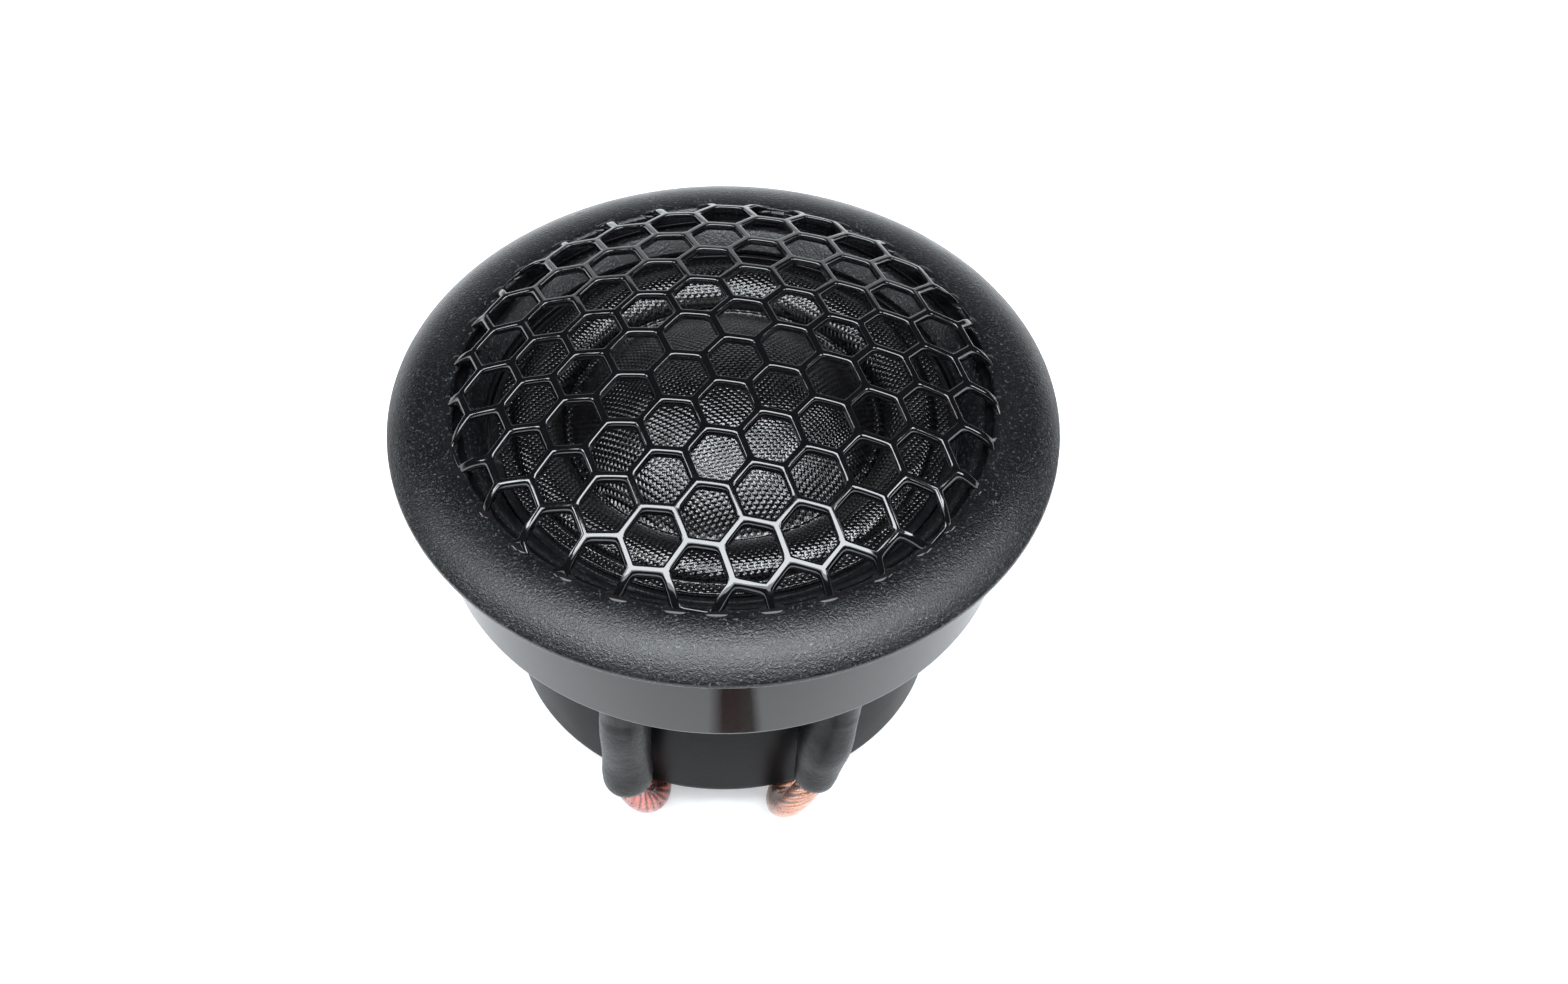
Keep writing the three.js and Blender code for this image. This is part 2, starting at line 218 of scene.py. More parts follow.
def metal(name, tone, rough, brushed=False):
    """Bare metal: turned lines round the axis where brushed, else a fine mottle."""
    n = Nodes(name)
    x, y, z = n.split(n.place())
    if brushed:
        radius = n.math("SQRT", n.math("ADD", n.math("MULTIPLY", x, x), n.math("MULTIPLY", y, y)))
        lines = n.add("ShaderNodeCombineXYZ", X=radius, Y=z)
        streak = n.noise(9.0, 3.0, 0.7, vector=lines.outputs[0])
    else:
        streak = n.noise(3.0, 4.0, 0.6)
    darker = tuple(c * 0.72 for c in tone)
    colour = n.mix(n.ramp(streak, 0.3, 0.75), darker, tone)
    roughness = n.ramp(streak, 0.3, 0.75, rough * 1.4, rough * 0.8)
    depth = 0.01 if brushed else 0.006
    return n.shader(Base_Color=colour, Metallic=1.0, Roughness=roughness,
                    Normal=n.bump(streak, depth))


def coated_metal():
    """Satin black electrocoat on a drawn steel pot."""
    n = Nodes("coated_metal")
    grain = n.noise(3.2, 3.0, 0.6)
    cloud = n.noise(0.14, 3.0, 0.6)
    tone = n.mix(n.ramp(cloud, 0.35, 0.7), (0.003, 0.003, 0.0035), (0.006, 0.006, 0.007))
    rough = n.ramp(cloud, 0.3, 0.7, 0.28, 0.4)
    return n.shader(Base_Color=tone, Roughness=rough, Normal=n.bump(grain, 0.012),
                    Specular_IOR_Level=0.06)


def moulded_black():
    n = Nodes("moulded_black")
    grain = n.noise(2.2, 4.0, 0.65)
    tone = n.mix(n.ramp(grain, 0.35, 0.7), (0.013, 0.0135, 0.015), (0.024, 0.025, 0.027))
    return n.shader(Base_Color=tone, Roughness=n.ramp(grain, 0.3, 0.7, 0.42, 0.58),
                    Normal=n.bump(grain, 0.03), Specular_IOR_Level=0.5)


def shrunk_sleeve():
    """Heat-shrink: satin, mottled where it cooled against the joint inside."""
    n = Nodes("shrunk_sleeve")
    mottle = n.noise(0.9, 4.0, 0.65)
    fine = n.noise(6.0, 3.0, 0.6)
    tone = n.mix(n.ramp(mottle, 0.35, 0.72), (0.0025, 0.0025, 0.003), (0.01, 0.01, 0.0112))
    rough = n.ramp(fine, 0.3, 0.75, 0.3, 0.5)
    height = n.math("ADD", mottle, n.math("MULTIPLY", fine, 0.2))
    return n.shader(Base_Color=tone, Roughness=rough, Normal=n.bump(height, 0.07),
                    Specular_IOR_Level=0.16)


def soft_fibre(name, tone, per_mm, depth):
    n = Nodes(name)
    fibre = n.noise(per_mm, 5.0, 0.75)
    darker = tuple(c * 0.4 for c in tone)
    colour = n.mix(n.ramp(fibre, 0.35, 0.7), darker, tone)
    return n.shader(Base_Color=colour, Roughness=0.95, Normal=n.bump(fibre, depth),
                    Sheen_Weight=0.3, Sheen_Roughness=0.5)


def clear_jacket(name, tint):
    """Clear soft PVC: the strands show through, and its skin is slightly uneven."""
    n = Nodes(name)
    wave = n.noise(0.8, 3.0, 0.6)
    colour = n.mix(n.ramp(wave, 0.35, 0.7), tuple(min(1.0, c * 1.04) for c in tint), tint)
    return n.shader(Base_Color=colour, Roughness=0.08, Transmission_Weight=0.94, IOR=1.42,
                    Normal=n.bump(wave, 0.02))


def strand_metal(name, tone):
    n = Nodes(name)
    fine = n.noise(4.0, 3.0, 0.6)
    cloud = n.noise(0.35, 2.0)
    colour = n.mix(n.ramp(cloud, 0.3, 0.75), tuple(c * 0.75 for c in tone), tone)
    return n.shader(Base_Color=colour, Metallic=1.0, Roughness=n.ramp(fine, 0.3, 0.7, 0.22, 0.38),
                    Normal=n.bump(fine, 0.01))


looks = {
    "bezel_satin": satin_plastic(),
    "gloss_black": gloss_plastic("gloss_black"),
    "collar_gloss": gloss_plastic("collar_gloss", (0.006, 0.0055, 0.006), 0.08, 0.004, 0.25),
    "guard_gloss": gloss_plastic("guard_gloss", (0.002, 0.002, 0.0024), 0.09, 0.008, 0.72),
    "rim_gloss": gloss_plastic("rim_gloss", (0.002, 0.002, 0.0024), 0.22, 0.004, 0.12),
    "matte_black": moulded_black(),
    "painted_black": coated_metal(),
    "woven_cloth": woven_cloth(),
    "aluminium_foil": metal("aluminium_foil", (0.72, 0.73, 0.74), 0.3, brushed=True),
    "copper_wire": metal("copper_wire", (0.72, 0.3, 0.15), 0.28),
    "plain_steel": metal("plain_steel", (0.5, 0.5, 0.51), 0.34, brushed=True),
    "nickel_plate": metal("nickel_plate", (0.64, 0.63, 0.6), 0.18),
    "grey_felt": soft_fibre("grey_felt", (0.07, 0.07, 0.067), 6.0, 0.12),
    "grey_foam": soft_fibre("grey_foam", (0.06, 0.06, 0.063), 2.5, 0.25),
    "brass_sheet": metal("brass_sheet", (0.74, 0.55, 0.23), 0.26),
    "heat_shrink": shrunk_sleeve(),
    "clear_red_jacket": clear_jacket("clear_red_jacket", (1.0, 0.82, 0.78)),
    "clear_jacket": clear_jacket("clear_jacket", (0.98, 0.96, 0.93)),
    "tinned_strands": strand_metal("tinned_strands", (0.68, 0.68, 0.66)),
}
copper_strands = strand_metal("copper_strands", (0.62, 0.27, 0.17))
red_strands = strand_metal("red_strands", (0.5, 0.13, 0.1))

for entry in frame["record"]["subparts"]:
    node = frame["nodes"][entry["node"]]
    node.data.materials.clear()
    node.data.materials.append(looks[entry["material_slot"]])


# ---- mesh helpers ----
def add_mesh(name, verts, faces, look, body=BODY):
    mesh = bpy.data.meshes.new(name)
    mesh.from_pydata([tuple(v) for v in verts], [], faces)
    mesh.validate()
    work = bmesh.new()
    work.from_mesh(mesh)
    bmesh.ops.recalc_face_normals(work, faces=work.faces)
    work.to_mesh(mesh)
    work.free()
    mesh.polygons.foreach_set("use_smooth", [True] * len(mesh.polygons))
    mesh.materials.append(look)
    piece = bpy.data.objects.new(name, mesh)
    bpy.context.scene.collection.objects.link(piece)
    if body:
        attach(piece, body)
    return piece


def rounded(points, radius):
    """A closed [r, z] outline with its corners rounded. A third number is a corner's own radius."""
    steps = 4
    out = []
    count = len(points)
    for i, point in enumerate(points):
        own = point[2] if len(point) > 2 else radius
        here = np.array(point[:2], float)
        before = np.array(points[i - 1][:2], float) - here
        after = np.array(points[(i + 1) % count][:2], float) - here
        reach = min(own, 0.45 * np.linalg.norm(before), 0.45 * np.linalg.norm(after))
        if reach < 1e-4 or point[0] < 1e-6:
            out.append(here)
            continue
        a = here + before / np.linalg.norm(before) * reach
        b = here + after / np.linalg.norm(after) * reach
        for k in range(steps + 1):
            t = k / steps
            out.append((1 - t) ** 2 * a + 2 * t * (1 - t) * here + t * t * b)
    return out


def lathe_mesh(outline, segments):
    """Vertices and faces of a closed outline turned about Z. Points on the axis become one."""
    verts, rings = [], []
    for r, z in outline:
        if r < 1e-6:
            rings.append([len(verts)])
            verts.append((0, 0, (z + RIM) * MM))
            continue
        ring = []
        for k in range(segments):
            turn = 2 * math.pi * k / segments
            ring.append(len(verts))
            verts.append((r * math.cos(turn) * MM, r * math.sin(turn) * MM, (z + RIM) * MM))
        rings.append(ring)
    faces = []
    for i, ring in enumerate(rings):
        other = rings[(i + 1) % len(rings)]
        if len(ring) == 1 and len(other) == 1:
            continue
        for k in range(segments):
            m = (k + 1) % segments
            if len(ring) == 1:
                faces.append((ring[0], other[m], other[k]))
            elif len(other) == 1:
                faces.append((ring[k], ring[m], other[0]))
            else:
                faces.append((ring[k], ring[m], other[m], other[k]))
    return verts, faces


def lathe(name, points, look, radius, segments, body=BODY):
    verts, faces = lathe_mesh(rounded(points, radius), segments)
    return add_mesh(name, verts, faces, look, body)


def subtract(piece, *cutters):
    for cutter in cutters:
        change = piece.modifiers.new("cut", "BOOLEAN")
        change.operation = "DIFFERENCE"
        change.solver = "EXACT"
        change.object = cutter
        bpy.context.view_layer.update()
        shape = bpy.data.meshes.new_from_object(
            piece.evaluated_get(bpy.context.evaluated_depsgraph_get()))
        piece.modifiers.clear()
        old = piece.data
        piece.data = shape
        bpy.data.meshes.remove(old)
        bpy.data.objects.remove(cutter)
    sharpen(piece)


def sharpen(piece, angle=32):
    """Flat shading across hard corners, smooth elsewhere."""
    piece.data.set_sharp_from_angle(angle=math.radians(angle))


def block(size, centre, turn):
    """A plain box in millimetres, standing at a radius and angle, only used as a cutter."""
    work = bmesh.new()
    bmesh.ops.create_cube(work, size=1)
    bmesh.ops.scale(work, vec=Vector(size) * MM, verts=work.verts)
    bmesh.ops.translate(work, vec=Vector((centre[0], 0, centre[1] + RIM)) * MM, verts=work.verts)
    bmesh.ops.rotate(work, cent=(0, 0, 0), matrix=Matrix.Rotation(turn, 3, "Z"), verts=work.verts)
    mesh = bpy.data.meshes.new("cutter")
    work.to_mesh(mesh)
    work.free()
    piece = bpy.data.objects.new("cutter", mesh)
    bpy.context.scene.collection.objects.link(piece)
    return piece


# ---- leads ----
# Routes are in millimetres above the floor.
LEAD_RADIUS = 1.1
LAY_HEIGHT = 1.15                   # middle of a lead that lies on the floor
AROUND = [                          # round the rear cap, the same on both sides
    (6.4, -13.0), (7.0, -11.1), (8.3, -9.3), (10.0, -7.3), (11.5, -4.9), (12.5, -2.2),
    (12.9, 0.8), (12.9, 3.9), (12.4, 7.4), (11.3, 10.7), (9.5, 13.9), (7.2, 17.0),
    (5.2, 20.1), (3.4, 23.3), (2.1, 26.6), (1.6, 29.5),
]
# Each side: its lug's angle, how far its sleeve leans towards the middle, the sleeve's end and how
# much it narrows there, and the lead from the joint in the sleeve down to the floor.
SIDES = {
    "left": dict(pole="positive", mirror=-1, angle=247.6, lean=0, end=-24.2, pinch=0.0, drop=[
        (-8.0, -19.4, 13.0), (-8.0, -19.4, 8.2), (-7.8, -19.4, 6.5), (-7.2, -19.1, 4.8),
        (-6.5, -18.4, 3.3), (-5.9, -17.3, 2.2), (-5.6, -15.9, 1.5), (-5.8, -14.4, 1.15)]),
    "right": dict(pole="negative", mirror=1, angle=297.2, lean=11, end=-23.8, pinch=0.4, drop=[
        (8.3, -19.4, 13.0), (7.6, -19.7, 8.6), (6.8, -19.9, 7.0), (5.9, -19.8, 5.3),
        (5.2, -19.2, 3.8), (4.8, -18.1, 2.5), (4.8, -16.7, 1.6), (5.3, -15.2, 1.15)]),
}
COIL_CENTRE = (14.6, 32.0)
COIL_START, TURN_PITCH, COIL_TURNS, TAIL_TURNS, TAIL_RADIUS = 13.1, 2.3, 1.5, 0.5, 5.3


def coil_points(mirror):
    points = []
    count = round(16 * (COIL_TURNS + TAIL_TURNS))
    tail_drop = COIL_START - TURN_PITCH * (COIL_TURNS + TAIL_TURNS) - TAIL_RADIUS
    for i in range(count + 1):
        turns = i / 16
        closing = max(0.0, (turns - COIL_TURNS) / TAIL_TURNS)
        r = COIL_START - TURN_PITCH * turns - tail_drop * closing ** 2
        angle = 2 * math.pi * turns
        points.append((mirror * (COIL_CENTRE[0] - r * math.cos(angle)),
                       COIL_CENTRE[1] + r * math.sin(angle), LAY_HEIGHT))
    return points


def smooth_path(points, step):
    """Catmull-Rom points every step millimetres along the route."""
    p = np.array(points, float)
    p = np.vstack([2 * p[0] - p[1], p, 2 * p[-1] - p[-2]])
    fine = []
    for i in range(1, len(p) - 2):
        a, b, c, d = p[i - 1:i + 3]
        for t in np.linspace(0, 1, 24, endpoint=False):
            fine.append(0.5 * (2 * b + (c - a) * t + (2 * a - 5 * b + 4 * c - d) * t ** 2
                               + (3 * b - a - 3 * c + d) * t ** 3))
    fine.append(p[-2])
    fine = np.array(fine)
    run = np.concatenate([[0], np.cumsum(np.linalg.norm(np.diff(fine, axis=0), axis=1))])
    marks = np.linspace(0, run[-1], max(2, round(run[-1] / step) + 1))
    return np.stack([np.interp(marks, run, fine[:, k]) for k in range(3)], axis=1)


def sweep(path, section):
    """A closed tube along path (mm). section(i, share) gives a ring's (side, up) offsets in mm."""
    path = np.array(path, float)
    along = np.gradient(path, axis=0)
    along /= np.linalg.norm(along, axis=1)[:, None]
    side = np.cross(along[0], (0.3, 0.2, 0.93))
    side /= np.linalg.norm(side)
    verts, faces = [], []
    size = 0
    for i, (point, ahead) in enumerate(zip(path, along)):
        side = side - ahead * np.dot(side, ahead)
        side /= np.linalg.norm(side)
        up = np.cross(ahead, side)
        ring = section(i, i / (len(path) - 1))
        size = len(ring)
        for s, t in ring:
            verts.append(tuple((point + side * s + up * t) * MM))
    for i in range(len(path) - 1):
        for k in range(size):
            m = (k + 1) % size
            faces.append((i * size + k, i * size + m, (i + 1) * size + m, (i + 1) * size + k))
    faces.append(tuple(range(size - 1, -1, -1)))
    faces.append(tuple(range((len(path) - 1) * size, len(path) * size)))
    return verts, faces


def circle(radius, sides):
    ring = [(radius * math.cos(2 * math.pi * k / sides), radius * math.sin(2 * math.pi * k / sides))
            for k in range(sides)]
    return lambda i, share: ring


def stranded(radius, lobes, step, twist, taper=0.0):
    """A bundle of strands as one lobed section, twisting once in each twist millimetres."""
    per_lobe = 5
    root, lobe = 0.8, 0.2

    def ring(i, share):
        turn = 2 * math.pi * i * step / twist
        out = []
        for k in range(lobes * per_lobe):
            part = (k % per_lobe) / per_lobe
            r = radius * (root + lobe * math.sin(math.pi * part) ** 0.6) * (1 - taper * share ** 6)
            angle = 2 * math.pi * k / (lobes * per_lobe) + turn
            out.append((r * math.cos(angle), r * math.sin(angle)))
        return out
    return ring


def add_lead(word):
    side = SIDES[word]
    pole, mirror = side["pole"], side["mirror"]
    name = f"lead_{pole}"
    run = [(mirror * x, y, LAY_HEIGHT) for x, y in AROUND]
    route = side["drop"][1:] + run + coil_points(mirror)
    path = smooth_path(route, 0.8)
    strand_step, tip_step = 0.5, 0.15
    slot = "clear_red_jacket" if pole == "positive" else "clear_jacket"
    wires = red_strands if pole == "positive" else copper_strands
    inside = smooth_path(side["drop"][:1] + route, strand_step)
    verts, faces = sweep(path, circle(LEAD_RADIUS, 20))
    jacket = add_mesh(f"{name}_jacket", verts, faces, looks[slot])
    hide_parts(name, f"{name}_coil", f"{name}_tail")
    verts, faces = sweep(inside, stranded(0.8, 7, strand_step, 9.0))
    strands = add_mesh(f"{name}_strands", verts, faces, wires)
    tip = np.array(route[-1])
    end = [tip + (0, ahead, 0) for ahead in (-0.6, 0.6, 1.8, 3.1, 4.4)]
    verts, faces = sweep(smooth_path(end, tip_step), stranded(0.64, 7, tip_step, 4.5, 0.35))
    tinned = add_mesh(f"tinned_tip_{pole}", verts, faces, looks["tinned_strands"])
    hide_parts(f"tinned_end_{pole}")
    tie = add_tie(f"coil_tie_{pole}", mirror)


def add_tie(name, mirror):
    """A soft strap wound round the coil where two turns lie side by side."""
    angle = math.radians(100)
    r = COIL_START - TURN_PITCH * (angle / (2 * math.pi)) - 1.15
    out = Vector((-math.cos(angle) * mirror, math.sin(angle), 0))
    along = Vector((-out.y, out.x, 0))
    centre = Vector((mirror * COIL_CENTRE[0], COIL_CENTRE[1], 0)) + out * r
    half, low, high = 2.5, 0.17, 2.43
    width, thick = 1.5, 0.16
    square, count = 0.55, 40
    profile = [(-width, -thick), (width, -thick), (width, thick), (-width, thick)]
    verts, faces = [], []
    for k in range(count):
        turn = 2 * math.pi * k / count
        c, s = math.cos(turn), math.sin(turn)
        px = math.copysign(abs(c) ** square, c) * half
        pz = (low + high) / 2 + math.copysign(abs(s) ** square, s) * (high - low) / 2
        for w, t in profile:
            spot = centre + out * (px + t * c) + along * w
            verts.append(tuple(Vector((spot.x, spot.y, max(0.005, pz + t * s))) * MM))
        m = (k + 1) % count
        for q in range(4):
            p = (q + 1) % 4
            faces.append((k * 4 + q, k * 4 + p, m * 4 + p, m * 4 + q))
    return add_mesh(name, verts, faces, looks["matte_black"])


for word in SIDES:
    add_lead(word)


# ---- bezel ring ----
def add_bezel():
    inner, outer, height = 22.3, 27.5, 2.3
    width = outer - inner
    crown = (width ** 2 + height ** 2) / (2 * height)
    sweep_angle = math.asin(width / crown)
    steps = 18
    face = []
    for i in range(steps):
        turn = sweep_angle * i / steps
        face.append((inner + crown * math.sin(turn), height - crown * (1 - math.cos(turn)), 0))
    rim = [(outer, 0.0, 0.12), (outer, -0.36, 0.1), (27.1, -0.6, 0.05), (19.6, -0.6, 0.05)]
    mouth = [(19.6, -0.3, 0.1), (20.85, 0.95, 0.3), (21.9, 1.0, 0.2), (22.0, 1.15, 0.1),
             (21.98, 2.1, 0.2)]
    piece = lathe("bezel", face + rim + mouth, looks["bezel_satin"], 0.1, 240)
    sharpen(piece, 40)
    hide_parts("bezel_ring")


add_bezel()


# ---- honeycomb guard ----
PITCH = 4.51                        # middle of strand to middle of strand, across flats
CELL_SIDE = PITCH / math.sqrt(3)
CELL_TURN = math.radians(-8.83)
GUARD_EDGE = 22.0
LAST_CELL = 23.6                    # cells whose middle is further out than this are left out
BEND_START = 21.0                   # where the strands begin to bend down into the lip
TRIM = 22.6                         # the strands' ends, inside the bezel
TRIM_REACH = 23.0                   # points from TRIM to here are drawn back to TRIM


def guard_top(r):
    share = (r / GUARD_EDGE) ** 2
    bend = max(0.0, r - BEND_START)
    return 9.3 - 5.36 * share - 0.69 * share ** 2 - 0.3 * bend ** 2


def cell_middles():
    for i in range(-8, 9):
        for j in range(-16, 17):
            yield np.array([-CELL_SIDE + 1.5 * CELL_SIDE * i, -PITCH * (j + i / 2)])


def hex_ring(inset, fillet, per_side=7):
    """A hexagon's outline, its flats inset from the cell's edge, with rounded corners."""
    sixth = math.radians(60)
    corner = (PITCH - 2 * inset) / math.sqrt(3)
    reach = fillet * math.tan(sixth / 2)
    ring = []
    for side in range(6):
        p, q = [corner * np.array([math.cos(sixth * k), math.sin(sixth * k)])
                for k in (side, side + 1)]
        for k in range(per_side):
            point = p + (q - p) * (k / per_side)
            near = round(math.atan2(point[1], point[0]) / sixth) * sixth
            tip = np.array([math.cos(near), math.sin(near)])
            if np.linalg.norm(point - tip * corner) < reach:
                # onto the arc that is tangent to both sides
                centre = tip * (corner - fillet / math.cos(sixth / 2))
                away = point - centre
                point = centre + away / np.linalg.norm(away) * fillet
            ring.append(point)
    return ring


# A strand's section: inset from the cell's edge, depth below the crest, corner fillet.
STRAND = [
    (0.0, 0.0, 0.0), (0.1, 0.0, 0.0), (0.17, 0.012, 0.1), (0.22, 0.033, 0.2), (0.262, 0.07, 0.27),
    (0.298, 0.12, 0.32), (0.328, 0.185, 0.36), (0.347, 0.265, 0.38), (0.36, 0.4, 0.4),
    (0.372, 0.56, 0.42), (0.355, 0.63, 0.4), (0.3, 0.67, 0.32), (0.15, 0.68, 0.12),
    (0.0, 0.68, 0.0),
]


def add_guard():
    """One net of strands: each cell is a stack of rings from crest to underside."""
    turn = np.array([[math.cos(CELL_TURN), -math.sin(CELL_TURN)],
                     [math.sin(CELL_TURN), math.cos(CELL_TURN)]])
    shapes = [(hex_ring(inset, fillet), drop) for inset, drop, fillet in STRAND]
    count = len(shapes[0][0])
    verts, faces = [], []
    for middle in cell_middles():
        if np.linalg.norm(middle) > LAST_CELL:
            continue
        base = len(verts)
        for ring, drop in shapes:
            for point in ring:
                x, y = turn @ (point + middle)
                z = guard_top(math.hypot(x, y)) - drop
                verts.append((x * MM, y * MM, (z + RIM) * MM))
        for ring in range(len(shapes) - 1):
            for k in range(count):
                m = (k + 1) % count
                a, b = base + ring * count, base + (ring + 1) * count
                faces.append((a + k, a + m, b + m, b + k))
    piece = add_mesh("guard_net", verts, faces, looks["guard_gloss"], body=None)
    close_net(piece)
    sharpen(piece, 50)
    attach(piece, BODY)
    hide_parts("honeycomb_grille")
    lathe("guard_rim", [(21.35, 1.0), (21.35, 1.46), (22.15, 1.5), (22.15, 1.0)],
          looks["rim_gloss"], 0.12, 200)


def close_net(piece):
    """Joins the cells, trims the net to the bezel's mouth and closes the strands' cut ends."""
    work = bmesh.new()
    work.from_mesh(piece.data)
    bmesh.ops.remove_doubles(work, verts=work.verts, dist=0.004 * MM)
    for vert in work.verts:
        r = math.hypot(vert.co.x, vert.co.y)
        if TRIM * MM < r < TRIM_REACH * MM:
            vert.co.x *= TRIM * MM / r
            vert.co.y *= TRIM * MM / r
    doomed = [f for f in work.faces
              if math.hypot(*f.calc_center_median().xy) > (TRIM - 0.01) * MM]
    bmesh.ops.delete(work, geom=doomed, context="FACES")
    loose = [v for v in work.verts if not v.link_faces]
    bmesh.ops.delete(work, geom=loose, context="VERTS")
    edges = [e for e in work.edges if e.is_boundary]
    bmesh.ops.holes_fill(work, edges=edges, sides=0)
    bmesh.ops.recalc_face_normals(work, faces=work.faces)
    work.to_mesh(piece.data)
    work.free()
    piece.data.polygons.foreach_set("use_smooth", [True] * len(piece.data.polygons))


def strand_ends():
    """The angles where the cells' strands meet the bezel's lip."""
    lip, near_lip, apart = 22.2, 0.03, 0.03
    found = []
    for middle in cell_middles():
        if not 18 < np.linalg.norm(middle) < 26:
            continue
        corners = [middle + CELL_SIDE * np.array([math.cos(math.radians(60 * k)),
                                                  math.sin(math.radians(60 * k))])
                   for k in range(6)]
        for k in range(6):
            a, b = corners[k], corners[(k + 1) % 6]
            for t in np.linspace(0, 1, 60):
                spot = a + (b - a) * t
                if abs(np.linalg.norm(spot) - lip) < near_lip:
                    angle = math.atan2(spot[1], spot[0]) + CELL_TURN
                    if all(abs(math.remainder(angle - f, 2 * math.pi)) > apart for f in found):
                        found.append(angle)
    return found


def add_guard_feet():
    """Each strand spreads into a low foot where it runs into the lip."""
    verts, faces = [], []
    rows, cols = 7, 20
    along, across, tall = 0.95, 0.42, 0.22
    radius, height = 22.35, 2.2
    up = np.array([0, 0, tall])
    for angle in strand_ends():
        out = np.array([math.cos(angle), math.sin(angle), 0])
        side = np.array([-math.sin(angle), math.cos(angle), 0])
        middle = out * radius + np.array([0, 0, height + RIM])
        base = len(verts)
        verts.append(tuple((middle + up) * MM))
        for i in range(1, rows + 1):
            lat = math.pi * i / (rows + 1)
            spread = math.sin(lat) * (1 + 0.25 * (1 - math.cos(lat)))
            for k in range(cols):
                turn = 2 * math.pi * k / cols
                spot = (middle + side * (along * spread * math.cos(turn))
                        + out * (across * spread * math.sin(turn)) + up * math.cos(lat))
                verts.append(tuple(spot * MM))
        last = len(verts)
        verts.append(tuple((middle - up) * MM))
        foot = base + 1 + (rows - 1) * cols
        for k in range(cols):
            m = (k + 1) % cols
            faces.append((base, base + 1 + k, base + 1 + m))
            for i in range(rows - 1):
                a, b = base + 1 + i * cols, base + 1 + (i + 1) * cols
                faces.append((a + k, b + k, b + m, a + m))
            faces.append((foot + m, foot + k, last))
    add_mesh("guard_feet", verts, faces, looks["collar_gloss"])


add_guard()
add_guard_feet()


# ---- dome, surround and their ring ----
def dome_profile():
    edge, top_height, foot = 12.5, 4.9, -1.2
    rise = top_height - foot
    ball = (edge ** 2 + rise ** 2) / (2 * rise)
    thin = ball - 0.3
    over, under = [], []
    steps = 32
    for i in range(steps + 1):
        turn = math.asin((edge - 0.08) / ball) * i / steps
        for line, r in ((over, ball), (under, thin)):
            line.append((r * math.sin(turn), top_height - ball + r * math.cos(turn), 0))
    # a small bead where the dome is joined to the surround
    rim = [(12.5, -1.14, 0.03), (12.6, -0.98, 0.08), (12.84, -0.98, 0.08), (12.95, -1.12, 0.04),
           (13.05, -1.5, 0.08), (12.1, -1.52, 0.05)]
    return over + rim + under[::-1]


dome = lathe("woven_dome", dome_profile(), looks["woven_cloth"], 0.05, 160, COIL)
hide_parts("fabric_dome")


def add_surround():
    middle, outside, inside = 15.3, 2.2, 1.85
    height, hollow = 1.7, 1.35
    inner_foot, outer_foot = -1.2, -0.4
    over, under = [], []
    steps = 28
    for i in range(steps + 1):
        share = i / steps
        turn = math.pi * share
        foot = inner_foot + (outer_foot - inner_foot) * share
        for line, half, rise in ((over, outside, height), (under, inside, hollow)):
            line.append((middle - half * math.cos(turn), foot + rise * math.sin(turn), 0))
    inner_lip = [(12.8, -1.5, 0.05), (12.8, -1.24, 0.05)]
    outer_lip = [(17.75, -0.38, 0.1), (18.5, -0.4, 0.08), (18.5, -0.72, 0.05),
                 (17.2, -0.74, 0.05)]
    outline = inner_lip + over + outer_lip + under[::-1][1:]
    verts, faces = lathe_mesh(rounded(outline, 0.05), 180)
    piece = add_mesh("woven_surround", verts, faces, looks["woven_cloth"], None)
    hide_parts("surround")
    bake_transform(piece)


add_surround()

ring = lathe("clamp_ring", [
    (16.9, -1.05, 0.05), (19.2, -1.05, 0.12), (19.2, -2.4, 0.1), (16.9, -2.4, 0.1)],
    looks["gloss_black"], 0.1, 160)
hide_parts("diaphragm_ring")

# ---- housing, motor and rear chamber ----
housing = lathe("flanged_housing", [
    (19.4, -0.9, 0.1), (26.4, -0.9, 0.12), (26.4, -1.7, 0.15), (24.0, -1.7, 0.25),
    (23.9, -11.5, 0.3), (18.7, -11.5, 0.15), (18.7, -10.1, 0.1), (22.3, -10.1, 0.4),
    (22.3, -2.4, 0.2), (19.4, -2.4, 0.1)], looks["collar_gloss"], 0.15, 240)
LUG_RADIUS = 21.0
subtract(housing, *[block((1.2, 3.0, 5.0), (LUG_RADIUS, -10.5), math.radians(side["angle"]))
                    for side in SIDES.values()])
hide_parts("housing")

cup = lathe("drawn_cup", [
    (15.6, -5.5, 0.1), (18.4, -5.5, 0.2), (18.4, -14.1, 0.25), (3.0, -14.1, 0.2),
    (3.0, -11.6, 0.2), (15.6, -11.6, 0.4)], looks["painted_black"], 0.2, 200)
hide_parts("yoke_cup")

can = lathe("rear_pot", [
    (17.4, -14.4, 0.1), (18.4, -14.4, 0.25), (18.4, -27.9, 0.8), (15.4, -27.9, 0.3),
    (14.9, -27.6, 0.3), (11.2, -27.6, 0.3), (10.7, -27.9, 0.3), (6.3, -27.9, 0.15),
    (6.3, -26.7, 0.15), (17.4, -26.7, 0.5)], looks["painted_black"], 0.2, 200)
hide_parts("rear_can")

cap = lathe("moulded_cap", [
    (0, -25.5), (6.0, -25.5, 0.3), (6.0, -28.2, 0.1), (9.8, -28.2, 0.25), (9.8, -32.4, 0.5),
    (8.2, -32.4, 0.2), (8.0, -32.0, 0.2), (6.8, -32.0, 0.2), (6.6, -32.4, 0.2), (2.2, -32.4, 0.2),
    (1.6, -31.8, 0.2), (0, -31.8)], looks["matte_black"], 0.2, 140)
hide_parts("rear_cap")


# ---- sleeves on the lugs ----
SLEEVE_TOP = -12.0


